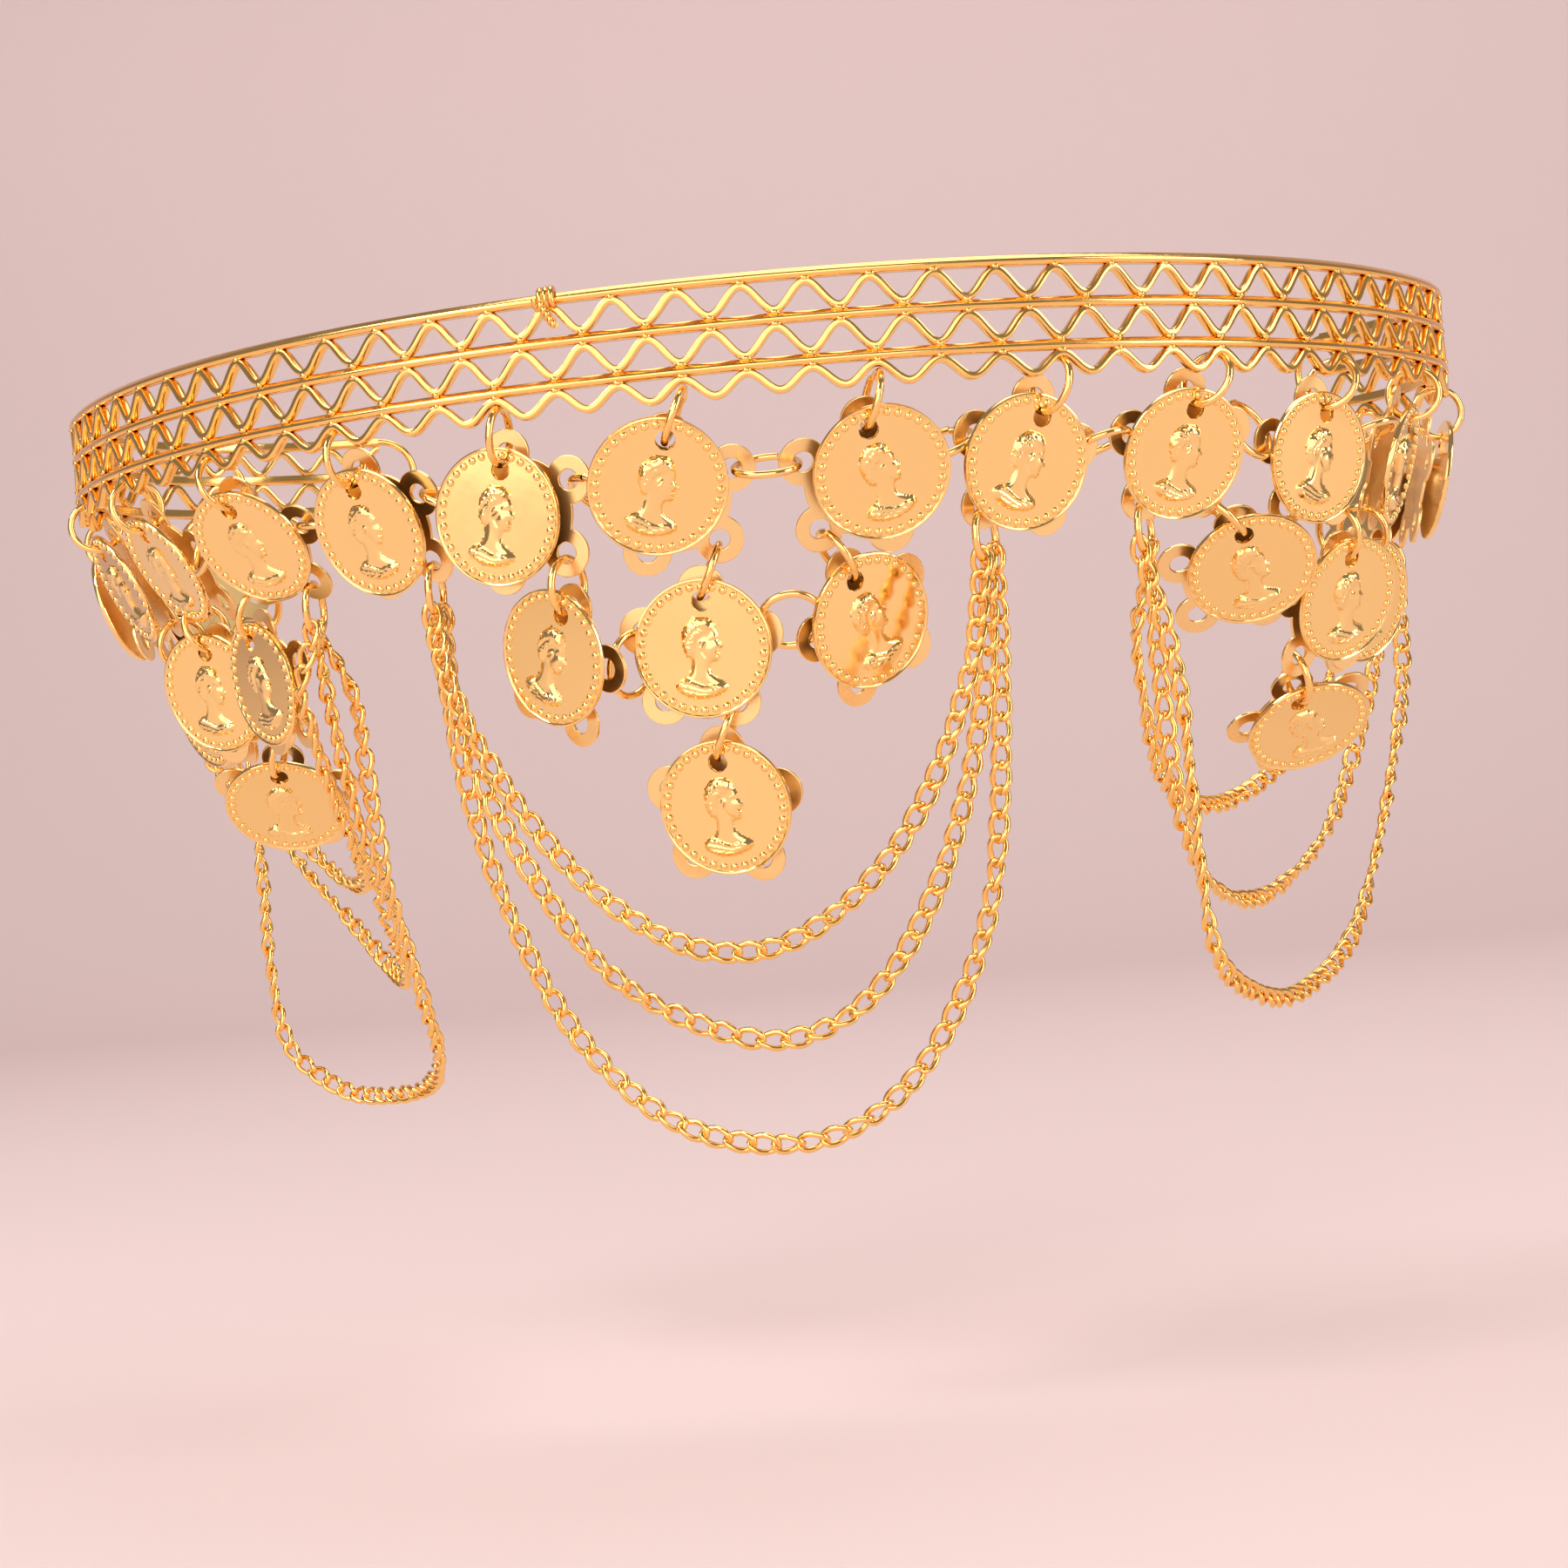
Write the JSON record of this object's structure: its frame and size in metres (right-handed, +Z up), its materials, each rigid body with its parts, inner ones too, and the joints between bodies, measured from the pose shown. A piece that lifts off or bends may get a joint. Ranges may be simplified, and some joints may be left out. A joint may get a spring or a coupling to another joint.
{
  "type": "coin headband",
  "caption": "Coin headband: wavy wire lattice band with linked coin pendants and swags of fine chain, in its worn shape.",
  "frame": {"origin": "the head's upright axis at the height of the band's middle rail", "axes": "+Z up along the head's axis, front middle of the band towards -Y, the wearer's left towards +X"},
  "size_m": [0.1901, 0.117, 0.1007],
  "materials": {
    "gold": "polished",
    "pale_gold": "polished",
    "binding_wire": "polished"
  },
  "bodies": {
    "root": {"band": "gold", "wire_tie": "binding_wire", "row_coin_01": "gold", "row_coin_02": "gold", "row_coin_03": "gold", "row_coin_04": "gold", "row_coin_05": "gold", "row_coin_06": "gold", "row_coin_07": "gold", "row_coin_08": "gold", "row_coin_09": "gold", "row_coin_10": "gold", "row_coin_11": "gold", "row_coin_12": "gold", "row_coin_13": "gold", "row_coin_14": "gold", "row_coin_15": "gold", "front_coin_1": "gold", "front_coin_2": "gold", "front_coin_3": "gold", "front_coin_4": "gold", "right_coin_1": "gold", "right_coin_2": "gold", "right_coin_3": "gold", "right_coin_4": "gold", "left_coin_1": "gold", "left_coin_2": "gold", "left_coin_3": "gold", "left_coin_4": "gold", "plates_left": "pale_gold", "plates_front": "pale_gold", "plates_right": "pale_gold", "rings_left": "pale_gold", "rings_front": "pale_gold", "rings_right": "pale_gold", "left_chain_1": "gold", "left_chain_2": "gold", "left_chain_3": "gold", "front_chain_1": "gold", "front_chain_2": "gold", "front_chain_3": "gold", "right_chain_1": "gold", "right_chain_2": "gold", "right_chain_3": "gold"}
  },
  "joints": []
}
